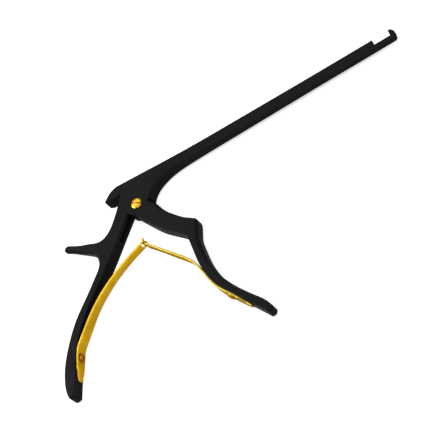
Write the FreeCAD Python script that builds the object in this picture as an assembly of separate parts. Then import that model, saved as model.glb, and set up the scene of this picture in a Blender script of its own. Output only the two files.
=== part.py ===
import FreeCAD, Part
import math
import os

# Bone rongeur with a 90 degree up-biting jaw, lying on its side.
# Origin: the handle pivot axis on the lower side face. +X runs along the shaft to the jaw,
# +Y points away from the handles and +Z is up, across the thickness of the instrument.

# Body thickness and edge bevels
body_thickness = 10.0
back_bevel = 1.7
front_bevel = 1.9
shaft_bevel = 1.0
fine_bevel = 0.4

# Shaft, jaw and slide rail
joint_height = 14.2
shaft_depth = 2.8
jaw_face_x = 199.5
jaw_opening = 12.0
jaw_thickness = 3.5
jaw_height = 6.4
jaw_cup_depth = 0.5
jaw_cup_radius = 1.3
jaw_cup_height = 2.3
jaw_lip = 0.4
tip_half_width = 2.3
middle_half_width = 2.8
root_half_width = 4.8
root_end_x = 8.0
middle_x = 85.0
tip_x = 150.0
rail_height = 1.7
rail_head_height = 0.8
rail_head_half_width = 1.3
rail_neck_half_width = 0.75
rail_start_x = 12.5
rail_solid_length = 4.0
web_end_x = 46.0
slide_clearance = 0.1

# Sliding upper shaft
slider_tip_height = 6.5
slider_root_height = 9.0
slider_back_x = -21.7
slider_shoulder_x = -14.4
slider_bevel = 1.5
slider_nose_height = 3.8

# Frame around the pivot
cheek_radius = 8.4
shoulder_gap = 0.1
tongue_thickness = 4.2
slot_clearance = 0.15
frame_back_x = -10.4
frame_corner_x = 10.4
frame_corner_y = -1.2
slot_front_x = 9.2
slot_back_x = -6.4

# Lever that drives the upper shaft
lever_length = 17.3
lever_rest_angle = 17.0
lever_end_radius = 2.4
lever_neck_half_width = 1.2
lever_foot_half_width = 2.8
notch_clearance = 0.15
notch_ceiling = 0.3

# Pivot screw
pivot_radius = 2.3
pivot_clearance = 0.05
pivot_head_radius = 3.9
pivot_sink_clearance = 0.25
pivot_head_height = 1.3
pivot_sink = 0.7
driver_slot_width = 0.9
driver_slot_depth = 0.55
driver_slot_turn = -36.0
pivot_head_bevel = 0.3

# Handles
arm_end_y = -30.0
handle_depth = 6.3
rear_grip_depth = 8.5
front_grip_depth = 5.9
grip_end_radius = 2.9
grip_end_inset = 2.4
rear_end_distance = 8.9
front_end_distance = 12.2
rear_end_lean = 38.0
front_end_lean = 12.0
spur_root_half_width = 3.6
spur_half_width = 2.9
spur_tip_radius = 2.6
spur_tip_thickness = 5.2
spur_taper_length = 36.0
spur_taper_half_width = 18.0

# Leaf springs and their screws
leaf_thickness = 1.3
leaf_seat_width = 8.8
leaf_tip_width = 5.8
leaf_foot_width = 3.6
rear_leaf_use = 22.0
front_leaf_use = 28.0
leaf_seat_gap = 0.05
fork_slot_width = 2.6
fork_length = 4.5
tongue_width = 2.0
spring_screw_radius = 1.5
spring_screw_head_radius = 3.0
spring_screw_head_height = 1.5
spring_screw_length = 4.5

# Farther from the origin than any point of the instrument
far = 250.0

middle = body_thickness / 2
rail_top = joint_height + rail_height
shaft_bottom = joint_height - shaft_depth
slider_front_x = jaw_face_x - jaw_opening
slider_bottom = joint_height + slide_clearance
jaw_back_x = jaw_face_x + jaw_thickness


def vec(x, y, z=0.0):
    return FreeCAD.Vector(x, y, z)


def line(start, end):
    return Part.LineSegment(vec(*start), vec(*end)).toShape()


def arc(start, through, end):
    return Part.Arc(vec(*start), vec(*through), vec(*end)).toShape()


def curve(points, start_tangent=None, end_tangent=None):
    """A smooth curve through the points, with given end directions where both are stated."""
    spline = Part.BSplineCurve()
    places = [vec(*point) for point in points]
    if start_tangent and end_tangent:
        spline.interpolate(Points=places, InitialTangent=vec(*start_tangent), FinalTangent=vec(*end_tangent))
    else:
        spline.interpolate(places)
    return spline.toShape()


def prism(edges, low, high):
    """The closed outline of the edges, drawn in X and Y and pushed from z low to z high."""
    face = Part.Face(Part.Wire(Part.__sortEdges__(edges)))
    face.translate(vec(0, 0, low))
    return face.extrude(vec(0, 0, high - low))


def polygon(points, low, high):
    closed = points + [points[0]]
    return prism([line(a, b) for a, b in zip(closed, closed[1:])], low, high)


def block(x0, x1, y0, y1, half_width):
    """A block that is centred on the middle plane."""
    return Part.makeBox(x1 - x0, y1 - y0, 2 * half_width, vec(x0, y0, middle - half_width))


def edges_along(shape, outline):
    """The edges on both side faces that follow the given stretches of a side view."""
    guide = Part.Compound(outline)
    chosen = []
    for edge in shape.Edges:
        if edge.BoundBox.ZLength > edge.Length / 2:
            continue
        place = edge.valueAt((edge.FirstParameter + edge.LastParameter) / 2)
        if Part.Vertex(place.x, place.y, 0).distToShape(guide)[0] < 0.01:
            chosen.append(edge)
    return chosen


def bevel_along(shape, outline, width):
    return shape.makeChamfer(width, edges_along(shape, outline))


def unit(start, end):
    length = math.hypot(end[0] - start[0], end[1] - start[1])
    return ((end[0] - start[0]) / length, (end[1] - start[1]) / length)


def shifted(point, direction, distance):
    return (point[0] + direction[0] * distance, point[1] + direction[1] * distance)


def turned(radius, angle):
    """The point at this distance from the pivot, at an angle in degrees from +X."""
    return (radius * math.cos(math.radians(angle)), radius * math.sin(math.radians(angle)))


def left_of(direction):
    return (-direction[1], direction[0])


def offset_points(points, start_distance, end_distance):
    """The points moved to the left of their own direction, by a distance that grows evenly."""
    moved = []
    last = len(points) - 1
    for index, point in enumerate(points):
        along = unit(points[max(index - 1, 0)], points[min(index + 1, last)])
        share = index / last
        distance = start_distance + (end_distance - start_distance) * share
        moved.append(shifted(point, left_of(along), distance))
    return moved


# Inner face of the rear handle, from the pivot down, and the seat of its spring
rear_inner = [(-19.0, -16.7), (-30.0, -29.7), (-41.2, -41.6), (-52.3, -53.2), (-61.1, -64.3), (-66.9, -73.2)]
rear_seat_top = (-69.8, -79.5)
rear_seat_end = (-76.6, -101.0)
rear_screw_distance = 5.0
rear_leaf_free = [(-63.0, -71.2), (-49.9, -55.7), (-34.8, -43.7), (-19.8, -35.6)]
leaf_meeting = (-5.2, -29.4)

# Inner face of the front handle, from the elbow down, and the seat of its spring
elbow_inner = (25.9, -44.4)
front_inner = [elbow_inner, (26.5, -53.0), (27.0, -63.0), (28.6, -75.0), (31.3, -84.0)]
front_seat_top = (34.6, -91.5)
front_seat_end = (50.9, -115.1)
front_screw_distance = 9.8
front_leaf_free = [(30.2, -83.7), (27.5, -76.6), (21.6, -63.2), (9.2, -46.9)]

# Middle line of the thumb spur, and where it starts to thin
spur_start = (-43.4, -10.5)
spur_middle = (-50.5, -6.2)
spur_end = (-58.5, -1.0)
spur_taper_start = (-33.4, -16.8)

# Slot in which the lever swings, its front end left out, and the root of the lever
lever_slot_outline = [(-9.2, 3.0), (-10.8, -1.0), (-15.2, -6.9), (-22.0, -17.4), (-18.0, -20.8), (-8.0, -12.0)]
lever_root_outline = [(7.6, -1.6), (12.6, -7.4), (9.0, -20.0), (1.8, -16.0), (-2.4, -7.6)]

rear_along = unit(rear_seat_top, rear_seat_end)
rear_inward = left_of(rear_along)
front_along = unit(front_seat_top, front_seat_end)
front_inward = left_of((-front_along[0], -front_along[1]))


def grip_end(seat_end, along, inward, distance, lean):
    """Rounded end of a grip: inner corner, lowest point, start of the outer side and the direction there."""
    centre = shifted(shifted(seat_end, along, distance), inward, -grip_end_inset)
    drop = math.sqrt(grip_end_radius ** 2 - grip_end_inset ** 2)
    corner = shifted(shifted(centre, along, drop), inward, grip_end_inset)
    low = shifted(centre, along, grip_end_radius)
    aside = math.cos(math.radians(lean))
    down = math.sin(math.radians(lean))
    outer = shifted(shifted(centre, inward, -grip_end_radius * aside), along, grip_end_radius * down)
    arriving = (along[0] * aside + inward[0] * down, along[1] * aside + inward[1] * down)
    return corner, low, outer, arriving


def plan_outline(margin):
    """Half of the shaft's plan: wide at the frame, narrow at the jaw."""
    root = middle if margin == 0 else root_half_width
    half = [(root_end_x, root), (middle_x / 2, (root_half_width + tip_half_width) / 2),
            (middle_x, middle_half_width), (tip_x, tip_half_width)]
    half = [(x, width - margin) for x, width in half]
    side = []
    for sign in (1, -1):
        points = [(x, sign * width) for x, width in half]
        side.append(line((-far, points[0][1]), points[0]))
        side.append(curve(points, (1, 0), (1, 0)))
        side.append(line(points[-1], (jaw_back_x + middle, points[-1][1])))
    side.append(line((-far, half[0][1]), (-far, -half[0][1])))
    side.append(line((jaw_back_x + middle, half[-1][1]), (jaw_back_x + middle, -half[-1][1])))
    return side


def plan_body(margin=0.0):
    """The plan outline pushed through the full height of the instrument."""
    body = prism(plan_outline(margin), -far, far)
    body.rotate(vec(0, 0), vec(1, 0), -90)
    body.translate(vec(0, 0, middle))
    return body


def frame_outline():
    """Side view of the frame: shaft, jaw, pivot cheeks, rear handle and spur in one piece."""
    jaw_top = rail_top + jaw_height - rail_height
    jaw_inner = (jaw_face_x, jaw_top - jaw_lip)
    jaw_crown = (jaw_face_x + 1.2, jaw_top)
    jaw_back = (jaw_back_x, shaft_bottom + shaft_depth)
    jaw_heel = (jaw_back_x - 2.2, shaft_bottom)
    web_end = (web_end_x, shaft_bottom)
    corner = (frame_corner_x, frame_corner_y)
    cheek_front = turned(cheek_radius, -7.0)
    cheek_low = turned(cheek_radius, -80.0)
    cheek_back = turned(cheek_radius, -156.0)
    outer = offset_points(rear_inner[2::2] + [rear_seat_top, rear_seat_end], -handle_depth, -rear_grip_depth)
    end_corner, end_low, end_outer, arriving = grip_end(
        rear_seat_end, rear_along, rear_inward, rear_end_distance, rear_end_lean)
    below_spur = (0.66, 0.75)
    spur_axis = unit(spur_start, spur_end)
    spur_up = (-left_of(spur_axis)[0], -left_of(spur_axis)[1])
    top = [(frame_back_x, joint_height), (-14.7, 6.0), (-19.9, -1.4), (-26.0, -8.2), (-33.4, -11.0),
           shifted(spur_start, spur_up, spur_root_half_width), shifted(spur_middle, spur_up, spur_half_width),
           shifted(spur_end, spur_up, spur_tip_radius)]
    low = [shifted(spur_end, spur_up, -spur_tip_radius), shifted(spur_middle, spur_up, -spur_half_width),
           shifted(spur_start, spur_up, -spur_root_half_width), (-39.4, -19.7), (-38.3, -26.0), outer[0]]
    under = [
        curve([jaw_crown, (jaw_back_x - 0.5, jaw_top - 1.8), jaw_back]),
        curve([jaw_back, (jaw_back_x - 0.7, shaft_bottom + 0.7), jaw_heel], (0.1, -1), (-1, 0)),
        line(jaw_heel, web_end),
        curve([web_end, (31.0, shaft_bottom - 0.5), (21.2, 8.4), (14.4, 4.3), corner]),
    ]
    back = [
        arc(end_corner, end_low, end_outer),
        curve([end_outer] + outer[::-1], (-arriving[0], -arriving[1]), below_spur),
        curve(low[::-1], below_spur, spur_axis),
        arc(low[0], shifted(spur_end, spur_axis, spur_tip_radius), top[-1]),
        curve(top[::-1], (-spur_axis[0], -spur_axis[1]), (0.45, 0.9)),
    ]
    inner = [
        curve([cheek_back] + rear_inner + [rear_seat_top], (-0.643, -0.766), rear_along),
        line(rear_seat_top, end_corner),
    ]
    rest = [
        line((frame_back_x, joint_height), (rail_start_x, joint_height)),
        line((rail_start_x, joint_height), (rail_start_x, rail_top)),
        line((rail_start_x, rail_top), (jaw_face_x, rail_top)),
        line((jaw_face_x, rail_top), jaw_inner),
        line(jaw_inner, jaw_crown),
        line(corner, cheek_front),
        arc(cheek_front, cheek_low, cheek_back),
    ]
    return under, back, inner, rest


def spur_tapers():
    """Two curved cutters that thin the spur from the thickness of the handle to that of its tip."""
    length = spur_taper_length
    half_width = spur_taper_half_width
    depth = (body_thickness - spur_tip_thickness) / 2
    hollow = [(0, 0), (0.25 * length, 0.35 * depth), (0.5 * length, 0.82 * depth), (length, depth)]
    turn = math.degrees(math.atan2(spur_end[1] - spur_start[1], spur_end[0] - spur_start[0]))
    cutters = []
    for sign in (1, -1):
        points = [(along, sign * (down - middle)) for along, down in hollow]
        beyond = -sign * (middle + 1)
        edges = [curve(points, (1, 0), (1, 0)), line(points[-1], (length, beyond)),
                 line((length, beyond), (0, beyond)), line((0, beyond), points[0])]
        cutter = prism(edges, -half_width, half_width)
        cutter.rotate(vec(0, 0), vec(1, 0), 90)
        cutter.rotate(vec(0, 0), vec(0, 0, 1), turn)
        cutter.translate(vec(spur_taper_start[0], spur_taper_start[1], middle))
        cutters.append(cutter)
    return cutters


def rail_cuts():
    """What is cut away beside the T-shaped rail on top of the lower shaft."""
    cuts = []
    neck_top = rail_top - rail_head_height
    for half, top, end in ((rail_head_half_width, rail_top + slide_clearance, jaw_face_x),
                           (rail_neck_half_width, neck_top, jaw_face_x - rail_solid_length)):
        for low in (middle + half, 0):
            cuts.append(Part.makeBox(end - rail_start_x, top - joint_height, middle - half,
                                     vec(rail_start_x, joint_height, low)))
    return cuts


def lever_end():
    """Middle of the lever's rounded end with the handles open."""
    return turned(lever_length, 90.0 + lever_rest_angle)


def lever_slot():
    """Slot through the middle of the frame in which the lever of the front handle swings."""
    half = tongue_thickness / 2 + slot_clearance
    top = rail_top + slide_clearance
    outline = [(slot_back_x, top)] + lever_slot_outline + [(slot_front_x, -12.0), (slot_front_x, top)]
    return polygon(outline, middle - half, middle + half)


def blind_hole(seat, along, inward, distance):
    """Threaded hole for a spring screw, square to the seat."""
    place = shifted(seat, along, distance)
    return Part.makeCylinder(spring_screw_radius, spring_screw_length, vec(place[0], place[1], middle),
                             vec(-inward[0], -inward[1], 0))


def make_frame():
    under, back, inner, rest = frame_outline()
    shape = prism(under + back + inner + rest, 0, body_thickness).common(plan_body())
    shape = shape.cut(spur_tapers())
    shape = bevel_along(shape, back, back_bevel)
    shape = bevel_along(shape, inner, fine_bevel)
    shape = bevel_along(shape, under, shaft_bevel)
    shape = shape.cut(rail_cuts() + [lever_slot()])
    cup = Part.makeCylinder(jaw_cup_radius, jaw_cup_depth, vec(jaw_face_x, rail_top + jaw_cup_height, middle),
                            vec(1, 0, 0))
    hole = Part.makeCylinder(pivot_radius + pivot_clearance, body_thickness, vec(0, 0, 0))
    sink = Part.makeCylinder(pivot_head_radius + pivot_sink_clearance, pivot_sink,
                             vec(0, 0, body_thickness - pivot_sink))
    screw_hole = blind_hole(rear_seat_top, rear_along, rear_inward, rear_screw_distance)
    return shape.cut([cup, hole, sink, screw_hole])


def slider_outline():
    top_tip = joint_height + slider_tip_height
    top_root = joint_height + slider_root_height
    shoulder = (slider_shoulder_x, top_root - 1.0)
    nose_top = (slider_back_x + 1.6, slider_bottom + slider_nose_height)
    nose_low = (slider_back_x + 0.5, slider_bottom)
    top = [
        line((slider_front_x, top_tip), (45.0, top_tip + 0.6)),
        curve([(45.0, top_tip + 0.6), (18.0, top_tip + 1.0), (frame_back_x, top_root)], (-1, 0.01), (-1, 0.04)),
        curve([(frame_back_x, top_root), shoulder, nose_top]),
        curve([nose_top, (slider_back_x - 0.1, slider_bottom + 1.2), nose_low]),
    ]
    rest = [
        line(nose_low, (slider_front_x, slider_bottom)),
        line((slider_front_x, slider_bottom), (slider_front_x, top_tip)),
    ]
    return top, rest


def make_slider():
    top, rest = slider_outline()
    shape = prism(top + rest, 0, body_thickness).common(plan_body(slide_clearance))
    shape = bevel_along(shape, top, slider_bevel)
    head_half = rail_head_half_width + slide_clearance
    neck_half = rail_neck_half_width + slide_clearance
    channel_start = rail_start_x - jaw_opening - 1.0
    lip_top = rail_top - rail_head_height - slide_clearance
    lip_end = slider_front_x - rail_solid_length - 0.5
    channel_top = rail_top + slide_clearance
    cuts = [block(channel_start, slider_front_x + 1, lip_top, channel_top, head_half),
            block(channel_start, slider_front_x + 1, slider_bottom - 1, lip_top, neck_half),
            block(lip_end, slider_front_x + 1, slider_bottom - 1, lip_top, head_half)]
    end = lever_end()
    reach = lever_end_radius + notch_clearance
    cuts.append(block(end[0] - reach, end[0] + reach, slider_bottom - 1,
                      lever_length + lever_end_radius + notch_ceiling, tongue_thickness / 2 + slot_clearance))
    cup_place = vec(slider_front_x, rail_top + jaw_cup_height, middle)
    cuts.append(Part.makeCylinder(jaw_cup_radius, jaw_cup_depth, cup_place, vec(-1, 0, 0)))
    return shape.cut(cuts)


def lever_solids():
    """Pivot disc and rounded lever that reaches up into the notch of the upper shaft."""
    low = middle - tongue_thickness / 2
    end = lever_end()
    along = unit((0, 0), end)
    across = left_of(along)
    foot = [shifted((0, 0), across, side * lever_foot_half_width) for side in (-1, 1)]
    top = [shifted(end, across, side * lever_neck_half_width) for side in (1, -1)]
    neck = polygon(foot + top, low, low + tongue_thickness)
    disc = Part.makeCylinder(cheek_radius - shoulder_gap, tongue_thickness, vec(0, 0, low))
    tip = Part.makeCylinder(lever_end_radius, tongue_thickness, vec(end[0], end[1], low))
    root = polygon(lever_root_outline, low, low + tongue_thickness)
    return [neck, tip, root, disc]


def front_handle_outline():
    """Side view of the front handle: shoulder, arm, elbow and grip."""
    outer = offset_points(front_inner[1::2] + [front_seat_top, front_seat_end], handle_depth, front_grip_depth)
    end_corner, end_low, end_outer, arriving = grip_end(
        front_seat_end, front_along, front_inward, front_end_distance, front_end_lean)
    arm_corner = (34.8, -34.8)
    shoulder_start = (6.0, 1.0)
    outer_side = [
        curve([shoulder_start, (12.2, -6.6), (16.1, -14.8), (22.1, -23.1), (29.4, -30.6), arm_corner],
              (0.62, -0.78), (0.72, -0.69)),
        curve([arm_corner, outer[0]], (0.72, -0.69), (0.05, -1)),
        curve(outer + [end_outer], (0.05, -1), arriving),
        arc(end_outer, end_low, end_corner),
    ]
    inner_side = [
        line(end_corner, front_seat_top),
        curve([front_seat_top] + front_inner[::-1], (-front_along[0], -front_along[1]), (-0.1, 1)),
        curve([elbow_inner, (19.3, -37.3), (10.4, -28.4), (2.0, -16.7), (-2.1, -10.3), (-5.0, -5.0)]),
    ]
    return outer_side, inner_side, [line((-5.0, -5.0), shoulder_start)]


def make_front_handle():
    outer_side, inner_side, rest = front_handle_outline()
    plate = prism(outer_side + inner_side + rest, 0, body_thickness)
    arm = plate.common(block(-far, far, arm_end_y, far, middle))
    arm = bevel_along(arm, outer_side, front_bevel)
    arm = bevel_along(arm, inner_side, fine_bevel)
    grip = plate.common(block(-far, far, -far, arm_end_y, middle))
    grip = bevel_along(grip, outer_side, front_bevel)
    grip = bevel_along(grip, inner_side, fine_bevel)
    shape = arm.fuse(grip)
    shape = shape.cut(Part.makeCylinder(cheek_radius + shoulder_gap, body_thickness, vec(0, 0, 0)))
    shape = shape.fuse(lever_solids()).removeSplitter()
    hole = Part.makeCylinder(pivot_radius + pivot_clearance, body_thickness, vec(0, 0, 0))
    screw_hole = blind_hole(front_seat_top, front_along, front_inward, front_screw_distance)
    return shape.cut([hole, screw_hole])


def make_pivot_screw():
    """Slotted screw that joins the handles: shank from side to side, head sunk in the upper cheek."""
    head_low = body_thickness - pivot_sink
    shank = Part.makeCylinder(pivot_radius, head_low, vec(0, 0, 0))
    head = Part.makeCylinder(pivot_head_radius, pivot_head_height, vec(0, 0, head_low))
    rim = [edge for edge in head.Edges if edge.Closed and edge.BoundBox.ZMin > head_low + pivot_head_height / 2]
    head = head.makeChamfer(pivot_head_bevel, rim)
    screw = shank.fuse(head).removeSplitter()
    length = 2 * pivot_head_radius + 1
    slot = Part.makeBox(length, driver_slot_width, driver_slot_depth + 1,
                        vec(-length / 2, -driver_slot_width / 2, head_low + pivot_head_height - driver_slot_depth))
    slot.rotate(vec(0, 0), vec(0, 0, 1), driver_slot_turn)
    return screw.cut(slot)


def leaf_side(seat_low, seat_high, free, tip, inward):
    """Side view of a leaf: straight on its seat, then curved to the tip, with even thickness."""
    along = unit(seat_low, seat_high)
    lift = leaf_seat_gap + leaf_thickness / 2
    start = shifted(seat_low, inward, lift)
    bend = shifted(seat_high, inward, lift)
    end_direction = unit(free[-1], tip)
    centre = curve([bend] + free + [tip], along, end_direction)
    samples = []
    count = 10
    for index in range(count + 1):
        parameter = centre.FirstParameter + (centre.LastParameter - centre.FirstParameter) * index / count
        place = centre.valueAt(parameter)
        tangent = centre.tangentAt(parameter)
        samples.append(((place.x, place.y), (tangent.x, tangent.y)))
    edges = []
    ends = []
    for sign in (1, -1):
        half = sign * leaf_thickness / 2
        points = [shifted(place, left_of(tangent), half) for place, tangent in samples]
        foot = shifted(start, left_of(along), half)
        edges.append(line(foot, points[0]))
        edges.append(curve(points, along, end_direction))
        ends.append((foot, points[-1]))
    edges.append(line(ends[0][0], ends[1][0]))
    edges.append(line(ends[0][1], ends[1][1]))
    return prism(edges, -1, body_thickness + 1)


def leaf_plan(start, tip, screw_share, forked):
    """Plan of a leaf seen square to its chord: rounded foot, taper, and a fork or a tongue."""
    chord = math.hypot(tip[0] - start[0], tip[1] - start[1])
    wide = leaf_seat_width / 2
    narrow = leaf_tip_width / 2
    foot = leaf_foot_width / 2
    neck = chord - fork_length
    outline = []
    slot = fork_slot_width / 2
    tongue = tongue_width / 2
    for sign in (1, -1):
        outline.append(curve([(-2, sign * foot), (screw_share * chord * 0.5, sign * wide * 0.86),
                              (screw_share * chord, sign * wide), (chord * 0.6, sign * (narrow + 0.3)),
                              (neck, sign * narrow)]))
        if forked:
            outline.append(line((neck, sign * narrow), (chord + 2, sign * narrow)))
            outline.append(line((chord + 2, sign * narrow), (chord + 2, sign * slot)))
            outline.append(line((chord + 2, sign * slot), (neck, sign * slot)))
        else:
            outline.append(line((neck, sign * narrow), (neck, sign * tongue)))
            outline.append(line((neck, sign * tongue), (chord + 2, sign * tongue)))
    outline.append(line((-2, foot), (-2, -foot)))
    if forked:
        outline.append(line((neck, slot), (neck, -slot)))
    else:
        outline.append(line((chord + 2, tongue), (chord + 2, -tongue)))
    body = prism(outline, -far, far)
    body.rotate(vec(0, 0), vec(1, 0), 90)
    body.rotate(vec(0, 0), vec(0, 0, 1), math.degrees(math.atan2(tip[1] - start[1], tip[0] - start[0])))
    body.translate(vec(start[0], start[1], middle))
    return body


def make_leaf(seat_top, seat_end, seat_use, free, inward, along, screw_distance, forked):
    """One leaf spring with its screw hole; seat_use is how far down its foot reaches."""
    foot = shifted(seat_top, along, seat_use)
    end = shifted(leaf_meeting, unit(free[-1], leaf_meeting), fork_length / 2)
    chord = math.hypot(end[0] - foot[0], end[1] - foot[1])
    side = leaf_side(foot, seat_top, free, end, inward)
    plan = leaf_plan(foot, end, (seat_use - screw_distance) / chord, forked)
    place = shifted(seat_top, along, screw_distance)
    hole = Part.makeCylinder(spring_screw_radius + pivot_clearance, 3 * leaf_thickness,
                             vec(place[0], place[1], middle), vec(inward[0], inward[1], 0))
    return side.common(plan).cut(hole)


def make_spring_screw(seat, along, inward, distance):
    """Domed slotted screw that clamps a leaf on its seat."""
    place = shifted(seat, along, distance)
    head_low = leaf_seat_gap + leaf_thickness
    shank = Part.makeCylinder(spring_screw_radius, spring_screw_length + head_low, vec(0, 0, -spring_screw_length))
    head = Part.makeCylinder(spring_screw_head_radius, spring_screw_head_height, vec(0, 0, head_low))
    top = head_low + spring_screw_head_height
    rim = [edge for edge in head.Edges if edge.Closed and edge.BoundBox.ZMin > top - 0.01]
    head = head.makeChamfer(spring_screw_head_height * 0.5, rim)
    length = 2 * spring_screw_head_radius + 1
    slot = Part.makeBox(length, driver_slot_width, driver_slot_depth + 1,
                        vec(-length / 2, -driver_slot_width / 2, top - driver_slot_depth))
    screw = shank.fuse(head).removeSplitter().cut(slot)
    screw.rotate(vec(0, 0), vec(0, 1, 0), 90)
    screw.rotate(vec(0, 0), vec(0, 0, 1), math.degrees(math.atan2(inward[1], inward[0])))
    screw.translate(vec(place[0], place[1], middle))
    return screw


parts = {
    "frame": make_frame(),
    "slider": make_slider(),
    "front_handle": make_front_handle(),
    "pivot_screw": make_pivot_screw(),
    "rear_spring": make_leaf(rear_seat_top, rear_seat_end, rear_leaf_use, rear_leaf_free, rear_inward, rear_along,
                             rear_screw_distance, True),
    "front_spring": make_leaf(front_seat_top, front_seat_end, front_leaf_use, front_leaf_free, front_inward,
                              front_along, front_screw_distance, False),
    "rear_spring_screw": make_spring_screw(rear_seat_top, rear_along, rear_inward, rear_screw_distance),
    "front_spring_screw": make_spring_screw(front_seat_top, front_along, front_inward, front_screw_distance),
}

os.makedirs("parts", exist_ok=True)
for name, shape in parts.items():
    print(name, "valid", shape.isValid(), "solids", len(shape.Solids), "volume", round(shape.Volume, 1))
    shape.exportStep("parts/" + name + ".step")
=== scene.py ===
import math

import bmesh
import bpy
from mathutils import Matrix, Vector

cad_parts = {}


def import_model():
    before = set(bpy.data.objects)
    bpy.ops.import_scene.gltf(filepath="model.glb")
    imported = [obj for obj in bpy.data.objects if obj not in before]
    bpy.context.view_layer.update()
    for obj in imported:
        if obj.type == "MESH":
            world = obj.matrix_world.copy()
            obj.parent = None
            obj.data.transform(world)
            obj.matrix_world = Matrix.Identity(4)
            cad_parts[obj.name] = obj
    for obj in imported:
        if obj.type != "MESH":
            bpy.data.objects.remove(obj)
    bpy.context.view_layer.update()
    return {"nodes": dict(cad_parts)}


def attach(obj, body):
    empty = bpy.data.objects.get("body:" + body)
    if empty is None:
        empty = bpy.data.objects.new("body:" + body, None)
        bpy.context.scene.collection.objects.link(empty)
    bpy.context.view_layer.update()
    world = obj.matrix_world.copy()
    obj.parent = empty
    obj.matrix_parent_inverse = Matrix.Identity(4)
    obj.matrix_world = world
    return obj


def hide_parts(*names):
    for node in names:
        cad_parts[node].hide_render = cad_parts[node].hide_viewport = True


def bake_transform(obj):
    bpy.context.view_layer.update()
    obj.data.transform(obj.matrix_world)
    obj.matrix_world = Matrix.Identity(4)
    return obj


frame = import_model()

nodes = frame["nodes"]
scene = bpy.context.scene
MM = 0.001

# Colours, in linear light

BLACK_DEEP = (0.0062, 0.0062, 0.0065, 1)
BLACK_PALE = (0.0094, 0.0094, 0.0098, 1)
# Paler edge colour: partly rubbed wear, partly a painted highlight along the edges
BLACK_WEAR_AND_HIGHLIGHT = (0.05, 0.05, 0.052, 1)
GOLD_BRIGHT, GOLD_DEEP = (0.95, 0.60, 0.035, 1), (0.74, 0.44, 0.020, 1)
PALE_BRIGHT, PALE_DEEP = (0.58, 0.44, 0.085, 1), (0.40, 0.30, 0.04, 1)
SCREW_BRIGHT, SCREW_DEEP = (0.94, 0.54, 0.06, 1), (0.76, 0.36, 0.025, 1)
BROWN_BRIGHT, BROWN_DEEP = (0.66, 0.32, 0.03, 1), (0.42, 0.19, 0.014, 1)
GOLD_TINT = (0.75, 0.52, 0.12, 1)
GOLD_SPECK = (0.30, 0.19, 0.03, 1)
GOLD_EDGE = (0.45, 0.42, 0.05, 1)
# Brown used as painted shade in slots and narrow gaps
PAINTED_SHADE_BROWN = (0.20, 0.08, 0.008, 1)
FLOOR_LIT = (0.66, 0.66, 0.66, 1)
FLOOR_SEEN = (0.9, 0.9, 0.9, 1)
WHITE = (1, 1, 1, 1)

# Screws, in mm: heads as radius, rim and height, slots as width, depth and turn in degrees

AXIS_RADIUS = 0.01
PIVOT_SHANK_RADIUS = 2.3
PIVOT_FOOT_BEVEL = 0.2
PIVOT_SHANK_TOP = 9.3
PIVOT_HEAD = (3.9, 0.75, 1.32)
PIVOT_SLOT = (1.05, 0.95, -36.0)
SPRING_SHANK_RADIUS = 1.5
SPRING_SHANK_FOOT = -4.4
SPRING_SHANK_TOP = 1.36
SPRING_HEAD = (3.0, 0.35, 1.5)
REAR_SLOT = (0.8, 0.6, 62.0)
FRONT_SLOT = (0.8, 0.6, 75.0)
HEAD_BEVEL = 0.09
BEVEL_ANGLE = math.radians(40)
HEAD_SHARP_ANGLE = math.radians(35)

# Leaf springs, in mm: seats on the handles, the way they face, and half widths along the leaf from its foot

MIDDLE = 5.0
THICKNESS = 1.3
SEAT_LIFT = 0.05 + THICKNESS / 2
MEETING = (-5.2, -29.4)
REAR_SEAT = [(-76.44, -100.48), (-69.8, -79.5)]
REAR_INWARD = (0.9534, -0.3016, 0)
REAR_SCREW = (-71.31, -84.27, MIDDLE)
REAR_FREE = [(-63.0, -71.2), (-49.9, -55.7), (-34.8, -43.7), (-19.8, -35.6), (-8.4, -30.8)]
REAR_TAIL = [(-4.6, -28.2), (-4.2, -26.4)]
REAR_WIDTHS = [(0, 1.0), (1.2, 2.0), (4.5, 3.1), (10, 4.1), (17, 4.4), (30, 4.3), (62, 3.5), (78, 3.2)]
FORK_LENGTH, FORK_SHARE = 5.1, 0.58
FRONT_SEAT = [(50.51, -114.54), (34.6, -91.5)]
FRONT_INWARD = (-0.8228, -0.5683, 0)
FRONT_SCREW = (40.17, -99.56, MIDDLE)
FRONT_FREE = [(30.3, -83.6), (28.0, -76.2), (22.5, -62.6), (9.5, -46.7), (-2.6, -32.5)]
FRONT_TAIL = [(-5.6, -28.3), (-4.9, -26.6)]
FRONT_WIDTHS = [(0, 1.0), (1.2, 2.0), (4.5, 3.2), (11, 4.3), (18, 4.6), (31, 4.6), (50, 4.3), (68, 3.7),
                (90, 3.1)]
TONGUE_LENGTH, TONGUE_SHARE = 5.0, 0.5
LEAF_STEP = 0.9
LEAF_BEVEL = 0.22
LEAF_SHARP_ANGLE = math.radians(50)

# Camera and light, in metres, and what the camera sees brighter than the object does

CAMERA_PLACE = (0.2585, -0.6022, 0.7226)
CAMERA_RIGHT = (0.8420, -0.2751, -0.4641)
CAMERA_BACK = (0.2256, -0.6019, 0.7660)
SENSOR_WIDTH = 36.0
FOCAL_SHARE = 1450 / 430
LIGHT_AIM = (0.05, -0.03, 0)
FLOOR_GLOW = 0.5
SKY_LIT, SKY_SEEN = 0.35, 1.0


# Material helpers

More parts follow.
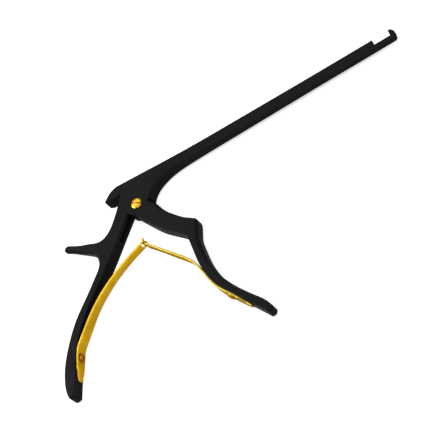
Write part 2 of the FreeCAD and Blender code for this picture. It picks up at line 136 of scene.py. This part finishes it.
class Surface:
    """A node material with one principled shader, built up step by step."""

    def __init__(self, name):
        self.material = bpy.data.materials.new(name)
        self.material.use_nodes = True
        self.tree = self.material.node_tree
        self.shader = self.tree.nodes["Principled BSDF"]
        self.place = self.add("ShaderNodeTexCoord").outputs["Object"]

    def add(self, kind, **settings):
        node = self.tree.nodes.new(kind)
        for key, value in settings.items():
            setattr(node, key, value)
        return node

    def link(self, source, target):
        self.tree.links.new(source, target)

    def set(self, key, value):
        self.shader.inputs[key].default_value = value

    def stretched(self, scale):
        mapping = self.add("ShaderNodeMapping")
        mapping.inputs["Scale"].default_value = scale
        self.link(self.place, mapping.inputs["Vector"])
        return mapping.outputs["Vector"]

    def noise(self, scale, detail=4.0, roughness=0.5, place=None):
        node = self.add("ShaderNodeTexNoise")
        node.inputs["Scale"].default_value = scale
        node.inputs["Detail"].default_value = detail
        node.inputs["Roughness"].default_value = roughness
        self.link(place or self.place, node.inputs["Vector"])
        return node.outputs["Fac"]

    def remap(self, value, low, high, new_low, new_high):
        node = self.add("ShaderNodeMapRange", clamp=True)
        self.link(value, node.inputs["Value"])
        for key, number in (("From Min", low), ("From Max", high), ("To Min", new_low), ("To Max", new_high)):
            node.inputs[key].default_value = number
        return node.outputs["Result"]

    def math(self, operation, first, second):
        node = self.add("ShaderNodeMath", operation=operation, use_clamp=True)
        for socket, value in zip(node.inputs, (first, second)):
            if isinstance(value, (int, float)):
                socket.default_value = value
            else:
                self.link(value, socket)
        return node.outputs["Value"]

    def mix(self, share, first, second):
        node = self.add("ShaderNodeMix", data_type="RGBA")
        self.link(share, node.inputs["Factor"])
        for key, value in (("A", first), ("B", second)):
            socket = [s for s in node.inputs if s.name == key and s.type == "RGBA"][0]
            if isinstance(value, tuple):
                socket.default_value = value
            else:
                self.link(value, socket)
        return [s for s in node.outputs if s.type == "RGBA"][0]

    def edges(self, radius, low, high):
        """0 on flat faces and 1 on sharp edges."""
        bevel = self.add("ShaderNodeBevel", samples=6)
        bevel.inputs["Radius"].default_value = radius
        geometry = self.add("ShaderNodeNewGeometry")
        dot = self.add("ShaderNodeVectorMath", operation="DOT_PRODUCT")
        self.link(bevel.outputs["Normal"], dot.inputs[0])
        self.link(geometry.outputs["Normal"], dot.inputs[1])
        return self.remap(dot.outputs["Value"], 1.0 - low, 1.0 - high, 0.0, 1.0)

    def hollows(self, distance, low, high):
        """0 in the open and 1 in slots and narrow gaps."""
        node = self.add("ShaderNodeAmbientOcclusion", samples=8)
        node.inputs["Distance"].default_value = distance
        return self.remap(node.outputs["AO"], low, high, 1.0, 0.0)

    def bump(self, height, strength, distance, softened):
        """Fine relief, with the sharp edges of the piece rounded off by the softened radius."""
        node = self.add("ShaderNodeBump")
        node.inputs["Strength"].default_value = strength
        node.inputs["Distance"].default_value = distance
        self.link(height, node.inputs["Height"])
        bevel = self.add("ShaderNodeBevel", samples=6)
        bevel.inputs["Radius"].default_value = softened
        self.link(bevel.outputs["Normal"], node.inputs["Normal"])
        self.link(node.outputs["Normal"], self.shader.inputs["Normal"])


def black_coating():
    """Satin black coating with a fine blasted grain, faint rubbing, and paler edges that are partly rubbed
    wear and partly a painted highlight.
    """
    s = Surface("black_coating")
    grain = s.noise(5200, 3.0)
    cloud = s.noise(70, 5.0, 0.6)
    rubbed = s.noise(260, 5.0, 0.65, s.stretched((0.25, 1.0, 1.0)))
    # Painted highlight: edges made paler, broken up by the rubbed noise as wear
    edge = s.math("MULTIPLY", s.edges(0.0005, 0.02, 0.3), s.remap(rubbed, 0.35, 0.65, 0.25, 1.0))
    base = s.mix(s.remap(cloud, 0.35, 0.7, 0.0, 1.0), BLACK_DEEP, BLACK_PALE)
    rubbed_and_highlit = s.mix(s.math("MULTIPLY", edge, 0.6), base, BLACK_WEAR_AND_HIGHLIGHT)
    s.link(rubbed_and_highlit, s.shader.inputs["Base Color"])
    rough = s.math("SUBTRACT", s.remap(cloud, 0.3, 0.7, 0.42, 0.52), s.remap(rubbed, 0.45, 0.75, 0.0, 0.07))
    s.link(rough, s.shader.inputs["Roughness"])
    s.set("Specular IOR Level", 0.05)
    s.bump(grain, 0.10, 0.00004, 0.0010)
    return s.material


def gold_coating(name, bright, deep, roughness):
    """Gold coloured coating on ground steel: fine lines, duller patches and edges, and painted shade in slots
    and narrow gaps.
    """
    s = Surface(name)
    cloud = s.noise(90, 5.0, 0.6)
    lines = s.noise(900, 4.0, 0.6, s.stretched((0.35, 0.35, 6.0)))
    specks = s.noise(2600, 2.0)
    edge = s.edges(0.0003, 0.02, 0.35)
    base = s.mix(s.remap(cloud, 0.35, 0.68, 0.0, 1.0), deep, bright)
    dulled = s.mix(s.math("MULTIPLY", s.remap(specks, 0.62, 0.75, 0.0, 1.0), 0.35), base, GOLD_SPECK)
    tinted = s.mix(s.math("MULTIPLY", edge, 0.5), dulled, GOLD_EDGE)
    # Painted shade: darker brown where ambient occlusion finds slots, the gaps round screw heads and between
    # leaf and handle
    shaded = s.mix(s.math("MULTIPLY", s.hollows(0.0012, 0.35, 0.85), 0.85), tinted, PAINTED_SHADE_BROWN)
    s.link(shaded, s.shader.inputs["Base Color"])
    s.set("Metallic", 1.0)
    s.set("Specular Tint", GOLD_TINT)
    rough = s.math("ADD", s.remap(lines, 0.3, 0.7, roughness - 0.05, roughness + 0.07),
                   s.remap(cloud, 0.4, 0.7, 0.0, 0.05))
    s.link(rough, s.shader.inputs["Roughness"])
    s.bump(lines, 0.12, 0.00003, 0.00015)
    return s.material


def floor_material():
    """White sweep: brighter to the camera than to the object, and it keeps the shadows."""
    s = Surface("floor_white")
    s.set("Roughness", 0.9)
    s.set("Specular IOR Level", 0.1)
    path = s.add("ShaderNodeLightPath")
    seen = path.outputs["Is Camera Ray"]
    s.link(s.mix(seen, FLOOR_LIT, FLOOR_SEEN), s.shader.inputs["Base Color"])
    s.link(s.math("MULTIPLY", seen, FLOOR_GLOW), s.shader.inputs["Emission Strength"])
    s.set("Emission Color", WHITE)
    return s.material


black = black_coating()
gold = gold_coating("gold_coating", GOLD_BRIGHT, GOLD_DEEP, 0.33)
pale_gold = gold_coating("gold_pale", PALE_BRIGHT, PALE_DEEP, 0.36)
gold_screw = gold_coating("gold_screw", SCREW_BRIGHT, SCREW_DEEP, 0.22)
brown_gold = gold_coating("gold_brown", BROWN_BRIGHT, BROWN_DEEP, 0.26)


def paint(piece, material):
    """Give a piece one material."""
    piece.data.materials.clear()
    piece.data.materials.append(material)


for name in ("frame", "slider", "front_handle"):
    paint(nodes[name], black)


# Slotted screws with domed heads

def dome(radius, rim, height, steps=7):
    """Profile of a head from its rim to the middle of its crown, as distances from the axis and heights."""
    profile = [(radius, 0.0), (radius, rim)]
    for k in range(1, steps + 1):
        turn = math.pi / 2 * k / steps
        profile.append((radius * math.cos(turn) ** 0.8, rim + (height - rim) * math.sin(turn)))
    return profile


def lathe(profile, around=64):
    """A closed body turned about Z from (radius, height) points that run from the foot to the crown."""
    mesh = bmesh.new()
    rings = []
    for radius, height in profile:
        if radius < AXIS_RADIUS:
            rings.append([mesh.verts.new((0, 0, height * MM))])
            continue
        angles = [2 * math.pi * k / around for k in range(around)]
        rings.append([mesh.verts.new((radius * math.cos(a) * MM, radius * math.sin(a) * MM, height * MM))
                      for a in angles])
    for low, high in zip(rings, rings[1:]):
        for k in range(around):
            after = (k + 1) % around
            if len(high) == 1:
                mesh.faces.new((low[k], low[after], high[0]))
            else:
                mesh.faces.new((low[k], low[after], high[after], high[k]))
    mesh.faces.new(rings[0][::-1])
    return mesh


def new_piece(name, mesh):
    data = bpy.data.meshes.new(name)
    mesh.to_mesh(data)
    mesh.free()
    piece = bpy.data.objects.new(name, data)
    scene.collection.objects.link(piece)
    return piece


def applied(piece, kind, **settings):
    """The piece with one modifier worked into its mesh."""
    modifier = piece.modifiers.new(kind.lower(), kind)
    for key, value in settings.items():
        setattr(modifier, key, value)
    ready = bpy.data.meshes.new_from_object(piece.evaluated_get(bpy.context.evaluated_depsgraph_get()))
    piece.modifiers.clear()
    piece.data = ready


def screw(name, material, node, body, shank, head, slot, place, axis):
    """Turned screw with a driver slot, its axis along the given direction."""
    profile = shank + [(radius, shank[-1][1] + height) for radius, height in dome(*head)]
    slot_width, slot_depth, slot_turn = slot
    piece = new_piece(name, lathe(profile))
    top = profile[-1][1]
    widest = max(radius for radius, height in profile)
    tool = bmesh.new()
    bmesh.ops.create_cube(tool, size=1.0)
    bmesh.ops.scale(tool, vec=(3 * widest * MM, slot_width * MM, 2 * slot_depth * MM), verts=tool.verts)
    bmesh.ops.rotate(tool, matrix=Matrix.Rotation(math.radians(slot_turn), 3, "Z"), verts=tool.verts)
    bmesh.ops.translate(tool, vec=(0, 0, top * MM), verts=tool.verts)
    cutter = new_piece(name + "_slot", tool)
    applied(piece, "BOOLEAN", operation="DIFFERENCE", object=cutter, solver="EXACT")
    bpy.data.objects.remove(cutter)
    applied(piece, "BEVEL", width=HEAD_BEVEL * MM, segments=2, limit_method="ANGLE", angle_limit=BEVEL_ANGLE)
    turn = Vector((0, 0, 1)).rotation_difference(Vector(axis)).to_matrix().to_4x4()
    piece.data.transform(Matrix.Translation(Vector(place) * MM) @ turn)
    piece.data.shade_smooth()
    piece.data.set_sharp_from_angle(angle=HEAD_SHARP_ANGLE)
    paint(piece, material)
    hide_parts(node)
    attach(piece, body)


pivot_shank = [(AXIS_RADIUS, 0.0), (PIVOT_SHANK_RADIUS - PIVOT_FOOT_BEVEL, 0.0),
               (PIVOT_SHANK_RADIUS, PIVOT_FOOT_BEVEL), (PIVOT_SHANK_RADIUS, PIVOT_SHANK_TOP)]
spring_shank = [(AXIS_RADIUS, SPRING_SHANK_FOOT), (SPRING_SHANK_RADIUS, SPRING_SHANK_FOOT),
                (SPRING_SHANK_RADIUS, SPRING_SHANK_TOP)]
screw("pivot_screw_turned", gold_screw, "pivot_screw", "frame",
      pivot_shank, PIVOT_HEAD, PIVOT_SLOT, (0, 0, 0), (0, 0, 1))
screw("rear_screw_turned", brown_gold, "rear_spring_screw", "frame",
      spring_shank, SPRING_HEAD, REAR_SLOT, REAR_SCREW, REAR_INWARD)
screw("front_screw_turned", brown_gold, "front_spring_screw", "front_handle",
      spring_shank, SPRING_HEAD, FRONT_SLOT, FRONT_SCREW, FRONT_INWARD)


# Leaf springs as curved strips

def smooth_path(points, steps):
    """A smooth curve through 2-D points, with equally many places on each stretch."""
    padded = [points[0] * 2 - points[1]] + points + [points[-1] * 2 - points[-2]]
    path = []
    for i in range(1, len(padded) - 2):
        a, b, c, d = padded[i - 1:i + 3]
        for k in range(steps):
            t = k / steps
            place = (b * 2 + (c - a) * t + (a * 2 - b * 5 + c * 4 - d) * t ** 2
                     + (b * 3 - a - c * 3 + d) * t ** 3) * 0.5
            path.append(place)
    path.append(points[-1])
    return path


def even_path(points, spacing):
    """The same path with even spacing, and the distance along it of each place."""
    fine = smooth_path(points, 40)
    lengths = [0.0]
    for a, b in zip(fine, fine[1:]):
        lengths.append(lengths[-1] + (b - a).length)
    count = max(2, round(lengths[-1] / spacing))
    result = []
    index = 0
    for k in range(count + 1):
        want = lengths[-1] * k / count
        while index < len(lengths) - 2 and lengths[index + 1] < want:
            index += 1
        span = lengths[index + 1] - lengths[index]
        share = 0 if span == 0 else (want - lengths[index]) / span
        result.append((want, fine[index].lerp(fine[index + 1], share)))
    return result


def width_at(table, distance):
    """Half width at a distance along the leaf, eased between the table's rows."""
    if distance <= table[0][0]:
        return table[0][1]
    for (s0, w0), (s1, w1) in zip(table, table[1:]):
        if distance <= s1:
            t = (distance - s0) / (s1 - s0)
            return w0 + (w1 - w0) * t * t * (3 - 2 * t)
    return table[-1][1]


def leaf(name, material, seat, inward, free, tail, widths, end_length, end_share, forked):
    """Leaf spring as a thin curved strip; its end is a fork, or a tongue that fits between the prongs."""
    lift = Vector(inward[:2]) * SEAT_LIFT
    low, high = Vector(seat[0]), Vector(seat[1])
    points = [low + lift, (low + high) / 2 + lift, high + lift]
    points += [Vector(place) for place in free + [MEETING] + tail]
    path = even_path(points, LEAF_STEP)
    total = path[-1][0]
    rows = [-1.0, -0.8, -end_share, 0.0, end_share, 0.8, 1.0]
    middle_cells = (2, 3)
    mesh = bmesh.new()
    columns = []
    for index, (distance, place) in enumerate(path):
        before = path[max(index - 1, 0)][1]
        after = path[min(index + 1, len(path) - 1)][1]
        tangent = (after - before).normalized()
        normal = Vector((-tangent.y, tangent.x))
        half = width_at(widths, distance)
        column = []
        for side in (0.5, -0.5):
            shifted = place + normal * side * THICKNESS
            column.append([mesh.verts.new((shifted.x * MM, shifted.y * MM, (MIDDLE + row * half) * MM))
                           for row in rows])
        columns.append(column)
    solid = {}
    for i in range(len(path) - 1):
        at_end = (path[i][0] + path[i + 1][0]) / 2 > total - end_length
        for j in range(len(rows) - 1):
            solid[i, j] = not at_end or (j in middle_cells) != forked
    for (i, j), filled in solid.items():
        if not filled:
            continue
        top, top_next = columns[i][0], columns[i + 1][0]
        low, low_next = columns[i][1], columns[i + 1][1]
        mesh.faces.new((top[j], top_next[j], top_next[j + 1], top[j + 1]))
        mesh.faces.new((low[j], low[j + 1], low_next[j + 1], low_next[j]))
        if not solid.get((i, j - 1)):
            mesh.faces.new((top[j], low[j], low_next[j], top_next[j]))
        if not solid.get((i, j + 1)):
            mesh.faces.new((top[j + 1], top_next[j + 1], low_next[j + 1], low[j + 1]))
        if not solid.get((i - 1, j)):
            mesh.faces.new((top[j], top[j + 1], low[j + 1], low[j]))
        if not solid.get((i + 1, j)):
            mesh.faces.new((top_next[j], low_next[j], low_next[j + 1], top_next[j + 1]))
    loose = [vert for vert in mesh.verts if not vert.link_faces]
    bmesh.ops.delete(mesh, geom=loose, context="VERTS")
    bmesh.ops.recalc_face_normals(mesh, faces=mesh.faces)
    sharp = [edge for edge in mesh.edges if edge.is_manifold and edge.calc_face_angle() > LEAF_SHARP_ANGLE]
    bmesh.ops.bevel(mesh, geom=sharp, offset=LEAF_BEVEL * MM, segments=2, affect="EDGES", profile=0.5,
                    clamp_overlap=True)
    piece = new_piece(name, mesh)
    piece.data.shade_smooth()
    piece.data.set_sharp_from_angle(angle=LEAF_SHARP_ANGLE)
    paint(piece, material)
    return piece


rear_leaf = leaf("rear_leaf", gold, REAR_SEAT, REAR_INWARD, REAR_FREE, REAR_TAIL, REAR_WIDTHS,
                 FORK_LENGTH, FORK_SHARE, True)
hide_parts("rear_spring")
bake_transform(rear_leaf)

front_leaf = leaf("front_leaf", pale_gold, FRONT_SEAT, FRONT_INWARD, FRONT_FREE, FRONT_TAIL, FRONT_WIDTHS,
                  TONGUE_LENGTH, TONGUE_SHARE, False)
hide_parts("front_spring")
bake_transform(front_leaf)


# Floor, light and camera

def floor():
    """White floor just under the object."""
    bpy.ops.mesh.primitive_plane_add(size=8.0, location=(0.08, -0.05, -0.00005))
    plane = bpy.context.object
    plane.name = "floor"
    plane.data.materials.append(floor_material())


def area_light(name, place, size, power):
    """Soft light on a rectangle that faces the middle of the object."""
    data = bpy.data.lights.new(name, "AREA")
    data.shape = "RECTANGLE"
    data.size, data.size_y = size
    data.energy = power
    light = bpy.data.objects.new(name, data)
    scene.collection.objects.link(light)
    light.location = place
    light.rotation_euler = (Vector(LIGHT_AIM) - Vector(place)).to_track_quat("-Z", "Y").to_euler()


def world():
    """White surroundings, dimmer as a light than as a background."""
    surroundings = bpy.data.worlds.new("surroundings")
    scene.world = surroundings
    surroundings.use_nodes = True
    tree = surroundings.node_tree
    background = tree.nodes["Background"]
    path = tree.nodes.new("ShaderNodeLightPath")
    mix = tree.nodes.new("ShaderNodeMix")
    mix.data_type = "FLOAT"
    tree.links.new(path.outputs["Is Camera Ray"], mix.inputs["Factor"])
    mix.inputs["A"].default_value = SKY_LIT
    mix.inputs["B"].default_value = SKY_SEEN
    tree.links.new(mix.outputs["Result"], background.inputs["Strength"])
    background.inputs["Color"].default_value = WHITE


def camera():
    """Camera placed and turned as the photograph was taken."""
    data = bpy.data.cameras.new("camera")
    data.sensor_width = SENSOR_WIDTH
    data.lens = SENSOR_WIDTH * FOCAL_SHARE
    data.clip_start = 0.01
    view = bpy.data.objects.new("camera", data)
    scene.collection.objects.link(view)
    right = Vector(CAMERA_RIGHT).normalized()
    back = Vector(CAMERA_BACK).normalized()
    up = back.cross(right).normalized()
    right = up.cross(back).normalized()
    turn = Matrix((right, up, back)).transposed().to_4x4()
    view.matrix_world = Matrix.Translation(Vector(CAMERA_PLACE)) @ turn
    scene.camera = view


floor()
area_light("key", (-0.95, 0.35, 0.85), (0.7, 0.5), 12)
area_light("fill", (0.9, -0.6, 0.7), (0.7, 0.7), 1.5)
area_light("card", (-0.30, 0.80, 1.0), (0.7, 0.7), 2.2)
area_light("top", (0.25, -0.55, 1.3), (1.0, 1.0), 10)
world()
camera()
scene.view_settings.view_transform = "Standard"
